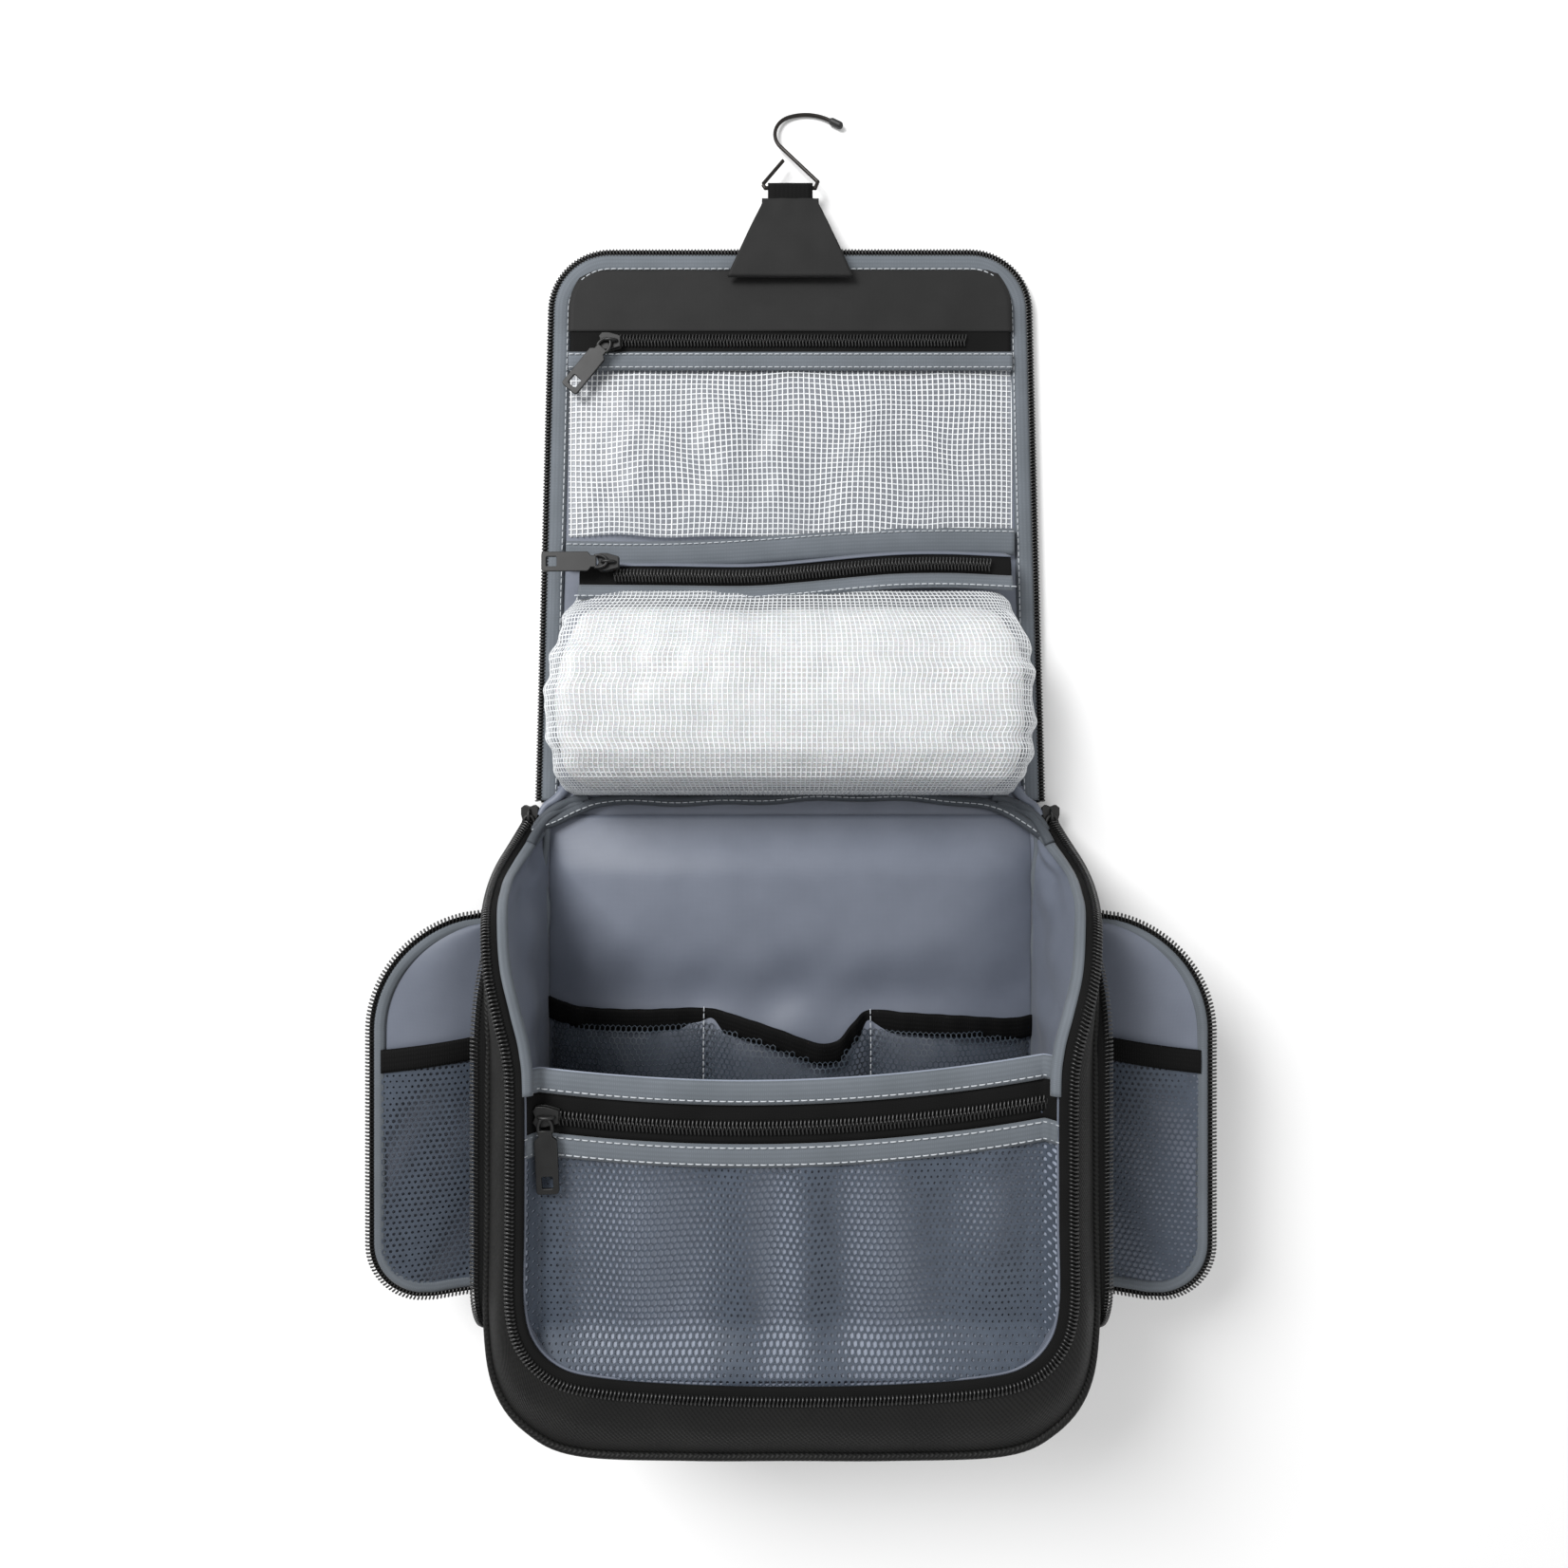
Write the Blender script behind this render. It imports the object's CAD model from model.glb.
import math

import bpy
import numpy as np
from mathutils import Matrix, Vector


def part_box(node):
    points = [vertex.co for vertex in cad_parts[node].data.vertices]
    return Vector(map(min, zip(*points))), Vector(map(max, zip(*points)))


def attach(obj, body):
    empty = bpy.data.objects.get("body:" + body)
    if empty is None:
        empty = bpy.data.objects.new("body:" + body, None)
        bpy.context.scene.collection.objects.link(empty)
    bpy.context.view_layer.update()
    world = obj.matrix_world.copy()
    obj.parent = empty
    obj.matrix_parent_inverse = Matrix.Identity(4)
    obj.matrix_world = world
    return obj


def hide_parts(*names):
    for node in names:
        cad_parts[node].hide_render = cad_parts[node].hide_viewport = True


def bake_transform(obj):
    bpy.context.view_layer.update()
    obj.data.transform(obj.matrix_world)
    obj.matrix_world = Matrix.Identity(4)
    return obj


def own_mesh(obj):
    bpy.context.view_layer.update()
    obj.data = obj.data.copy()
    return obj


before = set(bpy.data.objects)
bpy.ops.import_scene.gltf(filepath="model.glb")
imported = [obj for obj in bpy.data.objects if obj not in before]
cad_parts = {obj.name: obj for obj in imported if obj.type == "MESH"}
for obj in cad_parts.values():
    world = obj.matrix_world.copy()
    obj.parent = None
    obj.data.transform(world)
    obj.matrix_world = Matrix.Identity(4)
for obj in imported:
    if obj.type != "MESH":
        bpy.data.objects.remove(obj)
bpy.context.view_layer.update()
mm = 0.001
bag = {"foldY": 127, "foldZ": 4, "lidFoldY": 257, "lidEndY": 397}


# ---- camera, floor and light ----

view = {"above": 517, "aimX": -3, "aimY": 139, "frameWidth": 758, "sensor": 36}
cameraData = bpy.data.cameras.new("Camera")
cameraData.sensor_width = view["sensor"]
cameraData.lens = view["sensor"] * view["above"] / view["frameWidth"]
camera = bpy.data.objects.new("Camera", cameraData)
camera.location = Vector((view["aimX"], view["aimY"], view["above"] + bag["foldZ"])) * mm
bpy.context.scene.collection.objects.link(camera)
bpy.context.scene.camera = camera

scene = bpy.context.scene
scene.view_settings.view_transform = "Standard"
studio = {"ambient": 0.6, "keyPower": 25, "keySize": 0.7, "keyPlace": (-0.8, 0.85, 1.15),
          "fillPower": 4, "fillSize": 1.4, "fillPlace": (0.9, -0.2, 1.3), "aim": (0.02, 0.1, 0.0)}
world = bpy.data.worlds.new("Studio")
scene.world = world
world.use_nodes = True
world.node_tree.nodes["Background"].inputs["Color"].default_value = (1, 1, 1, 1)
world.node_tree.nodes["Background"].inputs["Strength"].default_value = studio["ambient"]
for lampName, power, place, size in (
        ("Key", studio["keyPower"], studio["keyPlace"], studio["keySize"]),
        ("Fill", studio["fillPower"], studio["fillPlace"], studio["fillSize"])):
    lamp = bpy.data.lights.new(lampName, "AREA")
    lamp.energy = power
    lamp.size = size
    lampObject = bpy.data.objects.new(lampName, lamp)
    lampObject.location = place
    towards = Vector(studio["aim"]) - Vector(place)
    lampObject.rotation_euler = towards.to_track_quat("-Z", "Y").to_euler()
    scene.collection.objects.link(lampObject)
print("camera and lights done")


# ---- materials ----

def hexColour(code):
    # sRGB hex to linear
    parts = [int(code[i:i + 2], 16) / 255 for i in (1, 3, 5)]
    return tuple(c / 12.92 if c <= 0.04045 else ((c + 0.055) / 1.055) ** 2.4 for c in parts) + (1,)


def addNode(tree, kind, inputs=None, **settings):
    # one node, its settings, and its inputs as values or as sockets to link
    node = tree.nodes.new(kind)
    for key, value in settings.items():
        setattr(node, key, value)
    for key, value in (inputs or {}).items():
        if isinstance(value, bpy.types.NodeSocket):
            tree.links.new(value, node.inputs[key])
        else:
            node.inputs[key].default_value = value
    return node


def newMaterial(name, **inputs):
    # the material, its node tree and its shader
    material = bpy.data.materials.new(name)
    material.use_nodes = True
    shader = material.node_tree.nodes["Principled BSDF"]
    for key, value in inputs.items():
        shader.inputs[key.replace("_", " ")].default_value = value
    return material, material.node_tree, shader


def clothUv(tree):
    # metres along and across the cloth
    return addNode(tree, "ShaderNodeUVMap", uv_map="cloth").outputs["UV"]


def weaveHeight(tree, threadMm, diagonal=0.0, stretch=1.0):
    # two sets of threads; diagonal turns them into a twill's slanting ribs
    turn = addNode(tree, "ShaderNodeMapping", {"Vector": clothUv(tree), "Scale": (1, stretch, 1),
                                               "Rotation": (0, 0, diagonal)})
    rate = 2 * math.pi / 20 / (threadMm * mm)  # a band of the wave texture is 2 pi / 20 long
    return [addNode(tree, "ShaderNodeTexWave", {"Vector": turn.outputs[0], "Scale": rate,
                                                "Distortion": 0.6, "Detail": 1.0},
                    wave_type="BANDS", bands_direction=direction, wave_profile="SIN").outputs["Fac"]
            for direction in ("X", "Y")]


def grainNode(tree, sizeMm, kind="ShaderNodeTexNoise", detail=None, **settings):
    # a texture in the piece's own space, its grain sizeMm wide
    inputs = {"Vector": addNode(tree, "ShaderNodeTexCoord").outputs["Object"], "Scale": 1 / (sizeMm * mm)}
    if detail is not None:
        inputs["Detail"] = detail
    return addNode(tree, kind, inputs, **settings)


def addBump(tree, shader, height, strength, depth):
    # depth in metres
    bump = addNode(tree, "ShaderNodeBump", {"Height": height, "Strength": strength, "Distance": depth})
    tree.links.new(bump.outputs[0], shader.inputs["Normal"])


def mottled(tree, low, high, sizeMm, detail=4.0):
    # colour that drifts a little between two tones
    cloud = grainNode(tree, sizeMm, detail=detail)
    ramp = addNode(tree, "ShaderNodeValToRGB", {"Fac": cloud.outputs["Fac"]})
    ramp.color_ramp.elements[0].position = 0.3
    ramp.color_ramp.elements[1].position = 0.7
    ramp.color_ramp.elements[0].color = hexColour(low)
    ramp.color_ramp.elements[1].color = hexColour(high)
    return ramp.outputs["Color"]


def wovenCloth(name, low, high, threadMm, depth, roughness, sheen, diagonal=0.0, stretch=1.0,
               dark=0.72, specular=0.3):
    material, tree, shader = newMaterial(name, Roughness=roughness, Sheen_Weight=sheen,
                                         Sheen_Roughness=0.4, Specular_IOR_Level=specular)
    warp, weft = weaveHeight(tree, threadMm, diagonal, stretch)
    mixed = addNode(tree, "ShaderNodeMath", {0: warp, 1: weft},
                    operation="MULTIPLY" if diagonal == 0 else "MAXIMUM")
    if diagonal:
        mixed = addNode(tree, "ShaderNodeMath", {0: warp, 1: addNode(
            tree, "ShaderNodeMath", {0: weft, 1: 0.35}, operation="MULTIPLY").outputs[0]}, operation="ADD")
    shade = addNode(tree, "ShaderNodeMapRange", {"Value": mixed.outputs[0], "To Min": dark, "To Max": 1.08})
    tone = addNode(tree, "ShaderNodeVectorMath", {0: mottled(tree, low, high, 22),
                                                  "Scale": shade.outputs[0]}, operation="SCALE")
    tree.links.new(tone.outputs[0], shader.inputs["Base Color"])
    addBump(tree, shader, mixed.outputs[0], 0.5, depth * mm)
    return material


# nylon taffeta, calendered: a soft satin sheen on a very fine plain weave, drawn coarser than it is
liningCloth = wovenCloth("NylonTaffeta", "#666c79", "#6d7380", 0.55, 0.04, 0.45, 0.08, dark=0.93,
                         specular=0.4)
# grosgrain tape: crosswise ribs, matt
bindingTape = wovenCloth("GrosgrainTape", "#5f656b", "#686e75", 0.7, 0.1, 0.75, 0.12, stretch=0.4, dark=0.86)
# the lining again, where it lies bright behind the nets
backCloth = wovenCloth("PocketBack", "#8a92a1", "#949cab", 0.55, 0.04, 0.45, 0.08, dark=0.93, specular=0.4)
# the same tape, heavier and darker, over the lid's fold
foldTape = wovenCloth("FoldTape", "#43484e", "#4d5258", 0.7, 0.1, 0.7, 0.1, stretch=0.4, dark=0.86)
# plain black nylon, coated inside: flat and slightly dusty
nylonCloth = wovenCloth("BlackNylon", "#1c1c1c", "#222222", 0.6, 0.06, 0.7, 0.05, dark=0.86, specular=0.25)
# polyester twill: slanting ribs that catch the light
twillCloth = wovenCloth("PolyesterTwill", "#0f0f0f", "#181817", 1.5, 0.42, 0.55, 0.0,
                        diagonal=math.radians(38), dark=0.3, specular=0.22)
# knitted elastic: lengthwise ribs, dense black
elasticKnit = wovenCloth("KnittedElastic", "#0a0a0a", "#101010", 1.0, 0.25, 0.8, 0.0, stretch=0.5, dark=0.6,
                         specular=0.15)
# woven zip tape: fine herringbone, dull black
zipTape = wovenCloth("ZipTape", "#0d0d0d", "#131313", 0.6, 0.1, 0.85, 0.0, dark=0.7, specular=0.15)


def plainYarn(name, low, high, roughness, sizeMm):
    # spun or knitted yarn: fine fuzz from noise
    material, tree, shader = newMaterial(name, Roughness=roughness, Sheen_Weight=0.2)
    tree.links.new(mottled(tree, low, high, sizeMm), shader.inputs["Base Color"])
    addBump(tree, shader, grainNode(tree, 0.5).outputs["Fac"], 0.3, 0.1 * mm)
    return material


meshYarn = plainYarn("KnittedMeshYarn", "#343d4a", "#3d4755", 0.6, 4)  # warp-knitted polyester net
darkMeshYarn = plainYarn("DarkMeshYarn", "#232d37", "#2e3945", 0.6, 4)  # the same net, in shade
stitchThread = plainYarn("SewingThread", "#aeb3b8", "#bdc1c6", 0.6, 3)  # bonded polyester thread
blackThread = plainYarn("BlackThread", "#1a1a1a", "#262626", 0.6, 3)


def mouldedPlastic(name, low, high, roughness, grainMm, **more):
    # nylon or ABS from a mould: even, with a trace of grain
    material, tree, shader = newMaterial(name, Roughness=roughness, **more)
    tree.links.new(mottled(tree, low, high, 6), shader.inputs["Base Color"])
    addBump(tree, shader, grainNode(tree, grainMm).outputs["Fac"], 0.15, 0.05 * mm)
    return material


# drawn nylon wire, glossy
coilNylon = mouldedPlastic("NylonCoil", "#191919", "#242424", 0.33, 0.4, Specular_IOR_Level=0.65)
paintedZinc = mouldedPlastic("PaintedZinc", "#181818", "#202020", 0.4, 0.3, Metallic=0.3)  # satin black paint
# dark nickel coat
steelWire = mouldedPlastic("CoatedSteelWire", "#221f1d", "#2d2926", 0.36, 0.3, Metallic=0.6)
tipPlastic = mouldedPlastic("MouldedTip", "#131313", "#1c1c1c", 0.45, 0.3)
gridThread = mouldedPlastic("WhiteScrim", "#dde0e3", "#eceef0", 0.35, 0.6)  # polyester scrim inside the PVC


def clearVinyl():
    # calendered soft PVC: milky, glossy, with long smears of reflection
    material, tree, shader = newMaterial("ClearPVC", Roughness=0.3, Alpha=0.13, Specular_IOR_Level=0.8)
    tree.links.new(mottled(tree, "#b9bcc0", "#d0d3d6", 40), shader.inputs["Base Color"])
    addBump(tree, shader, grainNode(tree, 26, detail=2.0).outputs["Fac"], 0.2, 2 * mm)
    return material


def tissuePaper():
    # unglazed tissue: white, matt, lets light through at its folds
    material, tree, shader = newMaterial("TissuePaper", Roughness=0.85, Subsurface_Weight=0.2,
                                         Subsurface_Scale=0.01)
    tree.links.new(mottled(tree, "#d9dad9", "#ebebea", 18), shader.inputs["Base Color"])
    creases = grainNode(tree, 17, "ShaderNodeTexVoronoi", feature="DISTANCE_TO_EDGE")
    addBump(tree, shader, creases.outputs["Distance"], 0.5, 3 * mm)
    return material


pvc = clearVinyl()
tissue = tissuePaper()
floorPaint, _, floorShader = newMaterial("PaleFloor", Roughness=0.9, Specular_IOR_Level=0.1)
floorShader.inputs["Base Color"].default_value = hexColour("#f4f4f4")
print("materials done")


# ---- mesh tools; lengths in mm, turned to metres in makeMesh ----

def makeMesh(name, points, faces, material, uv=None, thickness=0.0, smooth=True, subdivide=0, offset=-1.0):
    mesh = bpy.data.meshes.new(name)
    mesh.from_pydata((np.asarray(points, float) * mm).tolist(), [], [tuple(f) for f in faces])
    mesh.validate()
    if uv is not None:
        layer = mesh.uv_layers.new(name="cloth")
        loops = np.zeros(len(mesh.loops), np.int32)
        mesh.loops.foreach_get("vertex_index", loops)
        layer.data.foreach_set("uv", (np.asarray(uv, float)[loops] * mm).ravel().astype(np.float32))
    mesh.polygons.foreach_set("use_smooth", [smooth] * len(mesh.polygons))
    mesh.materials.append(material)
    piece = bpy.data.objects.new(name, mesh)
    scene.collection.objects.link(piece)
    if subdivide:
        smoother = piece.modifiers.new("Smooth", "SUBSURF")
        smoother.levels = smoother.render_levels = subdivide
    if thickness:
        solid = piece.modifiers.new("Cloth thickness", "SOLIDIFY")
        solid.thickness = thickness * mm
        solid.offset = offset
    return piece


def gridFaces(rows, cols, start=0):
    i, j = np.meshgrid(np.arange(rows - 1), np.arange(cols - 1), indexing="ij")
    a = (start + i * cols + j).ravel()
    return np.stack([a, a + 1, a + cols + 1, a + cols], axis=1)


def sheetPiece(name, surface, us, vs, material, thickness=0.8, subdivide=0, offset=-1.0):
    # surface(u, v) gives x, y, z arrays; the cloth coordinates follow the surface's own lengths
    u, v = np.meshgrid(us, vs, indexing="ij")
    points = np.stack(np.broadcast_arrays(*surface(u, v)), axis=-1).astype(float)
    alongU = np.zeros(u.shape)
    alongV = np.zeros(u.shape)
    alongU[1:] = np.cumsum(np.linalg.norm(np.diff(points, axis=0), axis=2), axis=0)
    alongV[:, 1:] = np.cumsum(np.linalg.norm(np.diff(points, axis=1), axis=2), axis=1)
    uv = np.stack([alongU - alongU.mean(0), alongV - alongV.mean(1, keepdims=True)], axis=-1).reshape(-1, 2)
    faces = gridFaces(*u.shape)
    return makeMesh(name, points.reshape(-1, 3), faces, material, uv, thickness, True, subdivide, offset)


def curveThrough(nodes, count):
    # a smooth line through the nodes (Catmull-Rom), sampled evenly in the nodes' own spacing
    p = np.asarray(nodes, float)
    p = np.vstack([2 * p[0] - p[1], p, 2 * p[-1] - p[-2]])
    t = np.linspace(0, len(nodes) - 1 - 1e-9, count)
    i = t.astype(int)
    f = (t - i)[:, None]
    a, b, c, d = p[i], p[i + 1], p[i + 2], p[i + 3]
    return 0.5 * (2 * b + (c - a) * f + (2 * a - 5 * b + 4 * c - d) * f ** 2
                  + (3 * b - a - 3 * c + d) * f ** 3)


def lengths(path):
    return np.concatenate([[0], np.cumsum(np.linalg.norm(np.diff(path, axis=0), axis=1))])


def evenly(path, step, *others):
    # the path and its companions again, at equal steps of length
    s = lengths(path)
    at = np.linspace(0, s[-1], max(2, int(round(s[-1] / step)) + 1))
    return [np.stack([np.interp(at, s, p[:, k]) for k in range(3)], axis=1) for p in (path, *others)]


def unit(v):
    return v / np.maximum(np.linalg.norm(v, axis=-1, keepdims=True), 1e-9)


def tangents(path):
    return unit(np.gradient(path, axis=0))


def ribbon(name, path, across, material, thickness=0.7, crown=0.0, up=None, cols=5, wave=None):
    # a strip: across is the vector over its whole width, starting on the path
    w = np.linspace(0, 1, cols)
    points = path[:, None] + across[:, None] * w[None, :, None]
    normal = unit(np.cross(tangents(path), across)) if up is None else np.broadcast_to(up, path.shape)
    lift = crown * 4 * w * (1 - w)
    points = points + normal[:, None] * lift[None, :, None]
    s = lengths(path)
    if wave is not None:
        points = points + normal[:, None] * wave(s)[:, None, None]
    width = np.linalg.norm(across, axis=1).mean()
    uv = np.stack(np.meshgrid(s, w * width, indexing="ij"), axis=-1).reshape(-1, 2)
    return makeMesh(name, points.reshape(-1, 3), gridFaces(len(path), cols), material, uv, thickness,
                    offset=0.0)


def tubeParts(path, radius, sides=8, flat=1.0, up=None):
    # rings round a line; flat squeezes them along up
    t = tangents(path)
    up = np.broadcast_to(np.array([0, 0, 1.0]) if up is None else up, path.shape)
    side = unit(np.cross(t, up))
    top = np.cross(side, t)
    a = np.linspace(0, 2 * math.pi, sides, endpoint=False)
    r = np.broadcast_to(np.asarray(radius, float), (len(path),))
    points = (path[:, None] + side[:, None] * (np.cos(a)[None, :, None] * r[:, None, None])
              + top[:, None] * (np.sin(a)[None, :, None] * r[:, None, None] * flat))
    faces = []
    for i in range(len(path) - 1):
        for j in range(sides):
            k = (j + 1) % sides
            faces.append((i * sides + j, i * sides + k, (i + 1) * sides + k, (i + 1) * sides + j))
    faces.append(tuple(range(sides - 1, -1, -1)))
    faces.append(tuple((len(path) - 1) * sides + j for j in range(sides)))
    s = lengths(path)
    uv = np.stack(np.meshgrid(s, a * np.mean(r), indexing="ij"), axis=-1).reshape(-1, 2)
    return points.reshape(-1, 3), faces, uv


def tubePiece(name, path, radius, material, sides=8, flat=1.0, up=None):
    points, faces, uv = tubeParts(path, radius, sides, flat, up)
    return makeMesh(name, points, faces, material, uv)


def many(name, template, places, material):
    # copies of a small template (points, faces), one for each (origin, x, y, z) place, in one mesh
    points, faces = template
    points = np.asarray(points, float)
    origin, x, y, z = places
    all_ = (origin[:, None] + points[None, :, 0:1] * x[:, None] + points[None, :, 1:2] * y[:, None]
            + points[None, :, 2:3] * z[:, None])
    count = len(points)
    joined = [tuple(i * count + k for k in f) for i in range(len(origin)) for f in faces]
    return makeMesh(name, all_.reshape(-1, 3), joined, material)


def bentTube(line, radius, sides):
    points, faces, _ = tubeParts(np.asarray(line, float), radius, sides, up=np.array([1.0, 0, 0]))
    return points, faces


stitch = {"length": 2.4, "pitch": 3.2, "thick": 0.44}
stitchShape = bentTube([(0, -stitch["length"] / 2, -0.15), (0, -0.6, 0.12), (0, 0.6, 0.12),
                        (0, stitch["length"] / 2, -0.15)], stitch["thick"] / 2 + 0.06, 5)


def stitches(name, path, up, material=None):
    p, u = evenly(path, stitch["pitch"], np.broadcast_to(up, path.shape) + 0.0)
    t = tangents(p)
    side = unit(np.cross(t, u))
    return many(name, stitchShape, (p + unit(u) * 0.12, side, t, unit(u)), material or stitchThread)


coil = {"pitch": 1.58, "wire": 0.62, "rise": 0.85}
# one loop of an open row: from the tape's edge it goes out and turns back under itself
openLoop = bentTube([(-2.2, 0.3, 0.1), (-1.4, 0.25, coil["rise"]), (0.1, 0.05, coil["rise"] + 0.15),
                     (1.1, -0.05, coil["rise"] * 0.75), (1.4, -0.1, 0.0)], coil["wire"] / 2 + 0.16, 6)
# one loop of a closed chain: it slants in from the tape to the middle, where it meets its neighbour
closedLoop = bentTube([(-3.0, 0.42, 0.1), (-2.5, 0.36, coil["rise"]), (-0.9, 0.1, coil["rise"] + 0.2),
                       (0.5, -0.12, coil["rise"] + 0.3), (0.9, -0.2, 0.3)], coil["wire"] / 2 + 0.05, 6)


def coilRow(name, path, up, out, shift=0.0, loop=None):
    # a row of loops along a tape's edge; out points away from the tape
    p, u, o = evenly(path, coil["pitch"], np.broadcast_to(up, path.shape) + 0.0,
                     np.broadcast_to(out, path.shape) + 0.0)
    t = tangents(p)
    return many(name, loop or openLoop, (p + t * shift, unit(o), t, unit(u)), coilNylon)


def closedChain(name, path, up, side):
    # two rows that mesh in the middle
    parts = [coilRow(name + "A", path, up, side, 0.0, closedLoop),
             coilRow(name + "B", path, up, -side, coil["pitch"] / 2, closedLoop)]
    return joinPieces(name, parts)


def joinPieces(name, parts):
    bpy.ops.object.select_all(action="DESELECT")
    for part in parts:
        part.select_set(True)
    bpy.context.view_layer.objects.active = parts[0]
    bpy.ops.object.join()
    parts[0].name = name
    return parts[0]


def ripple(x, y, sizeMm, seed, turns=6):
    # soft pseudo-random waves about sizeMm long, from -1 to 1
    rng = np.random.default_rng(seed)
    total = 0
    for _ in range(turns):
        angle = rng.uniform(0, 2 * math.pi)
        k = 2 * math.pi / (sizeMm * rng.uniform(0.7, 1.6))
        total = total + np.sin(k * (np.cos(angle) * x + np.sin(angle) * y) + rng.uniform(0, 6.28))
    return total / turns


def ease(x, low, high):
    t = np.clip((x - low) / (high - low), 0, 1)
    return t * t * (3 - 2 * t)


def finishPiece(piece, body, slot, *nodes):
    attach(piece, body)
    if nodes:
        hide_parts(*nodes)
    return piece


def foldPiece(piece, bodies, place, slot, *nodes):
    # cloth that crosses a fold across the bag, at place along it
    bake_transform(piece)
    if nodes:
        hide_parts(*nodes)
    return piece


lidFold = (("lid_lower", "lid_upper"), bag["lidFoldY"])
rootFold = (("compartment", "lid_lower"), bag["foldY"])


# ---- the hexagonal net ----

net = {"cell": 2.55, "hole": 0.78, "thick": 0.4}


def netPiece(name, surface, u0, u1, v0, v1, material, inside=None, gather=None):
    # a warp-knitted net: hexagonal holes; surface(u, v) lays the flat net on its place, and
    # gather(u, v) from 0 to 1 says where it is bunched and its holes close
    w = net["cell"]
    h = w * math.sqrt(3) / 2 * 1.12
    points, faces = [], []
    rows = int((v1 - v0) / h)
    cols = int((u1 - u0) / w)
    angles = np.radians(np.arange(6) * 60 + 30)
    outer = np.stack([np.cos(angles) * w / math.sqrt(3), np.sin(angles) * w / math.sqrt(3) * 1.12], axis=1)
    cells = []
    for r in range(rows):
        for c in range(cols):
            cu = u0 + (c + 0.5 + 0.5 * (r % 2)) * w
            cv = v0 + (r + 0.5) * h
            if cu < u1 and (inside is None or inside(cu, cv)):
                cells.append((cu, cv))
    cells = np.array(cells)
    closed = np.zeros(len(cells)) if gather is None else gather(cells[:, 0], cells[:, 1])
    hole = net["hole"] * (1 - 0.6 * closed)
    rings = np.concatenate([np.broadcast_to(outer, (len(cells), 6, 2)), outer[None] * hole[:, None, None]],
                           axis=1)
    flat = (cells[:, None] + rings).reshape(-1, 2)
    x, y, z = surface(flat[:, 0], flat[:, 1])
    points = np.stack([x, y, z], axis=1)
    for i in range(len(cells)):
        for k in range(6):
            n = (k + 1) % 6
            faces.append((i * 12 + k, i * 12 + n, i * 12 + 6 + n, i * 12 + 6 + k))
    piece = makeMesh(name, points, faces, material, flat, 0.0, smooth=False)
    weld = piece.modifiers.new("Join cells", "WELD")
    weld.merge_threshold = 0.05 * mm
    solid = piece.modifiers.new("Yarn thickness", "SOLIDIFY")
    solid.thickness = net["thick"] * mm
    return piece


# ---- the scrim grid in the clear sheet ----

scrim = {"pitch": 2.56, "width": 0.55, "rise": 0.12}


def scrimPiece(name, surface, u0, u1, v0, v1, material):
    # flat threads both ways, just above the clear sheet
    parts = []
    step = scrim["pitch"] / 2
    for direction in (0, 1):
        lo, hi = (u0, u1) if direction == 0 else (v0, v1)
        a, b = (v0, v1) if direction == 0 else (u0, u1)
        along = np.linspace(a, b, max(3, int((b - a) / step) + 1))
        for at in np.arange(lo + scrim["pitch"] / 2, hi, scrim["pitch"]):
            sides = []
            for edge in (-scrim["width"] / 2, scrim["width"] / 2):
                fixed = np.full(len(along), at + edge)
                uu, vv = (fixed, along) if direction == 0 else (along, fixed)
                sides.append(np.stack(np.broadcast_arrays(*surface(uu, vv)), axis=1))
            parts.append(np.stack(sides, axis=1))
    points, faces, start = [], [], 0
    for strip in parts:
        points.append(strip.reshape(-1, 3))
        faces.append(gridFaces(len(strip), 2, start))
        start += len(strip) * 2
    piece = makeMesh(name, np.concatenate(points), np.concatenate(faces), material, thickness=0.2, offset=1.0)
    return piece


# ---- outlines shared by the pieces ----

def lidHalf(y):
    # half width of the lid at its teeth, with its two round corners
    corner = 30
    straight = 123 - 7 * (y - bag["foldY"]) / 270
    over = np.clip(y - (bag["lidEndY"] - corner), 0, corner)
    return straight - corner + np.sqrt(np.maximum(corner ** 2 - over ** 2, 0))


def lidEdge(inset, start=None):
    # the lid's outline from its left root to its right one, that far inside its teeth
    y0 = bag["foldY"] + 4 if start is None else start
    top = bag["lidEndY"] - 30
    left = [(-lidHalf(np.float64(y)) + inset, y, 0) for y in np.linspace(y0, top, 24)]
    wide = lidHalf(np.float64(top)) - 30
    corner = [(-wide - (30 - inset) * math.cos(a), top + (30 - inset) * math.sin(a), 0)
              for a in np.radians(np.arange(6, 91, 6))]
    half = np.array(left + corner + [(x, top + 30 - inset, 0) for x in np.linspace(-wide + 8, 0, 10)])
    right = half[::-1][1:] * np.array([-1, 1, 1])
    return np.vstack([half, right])


def outward(path):
    # across the path, away from the bag's middle, in the flat
    t = tangents(path)
    return unit(np.stack([-t[:, 1], t[:, 0], np.zeros(len(t))], axis=1))


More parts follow.
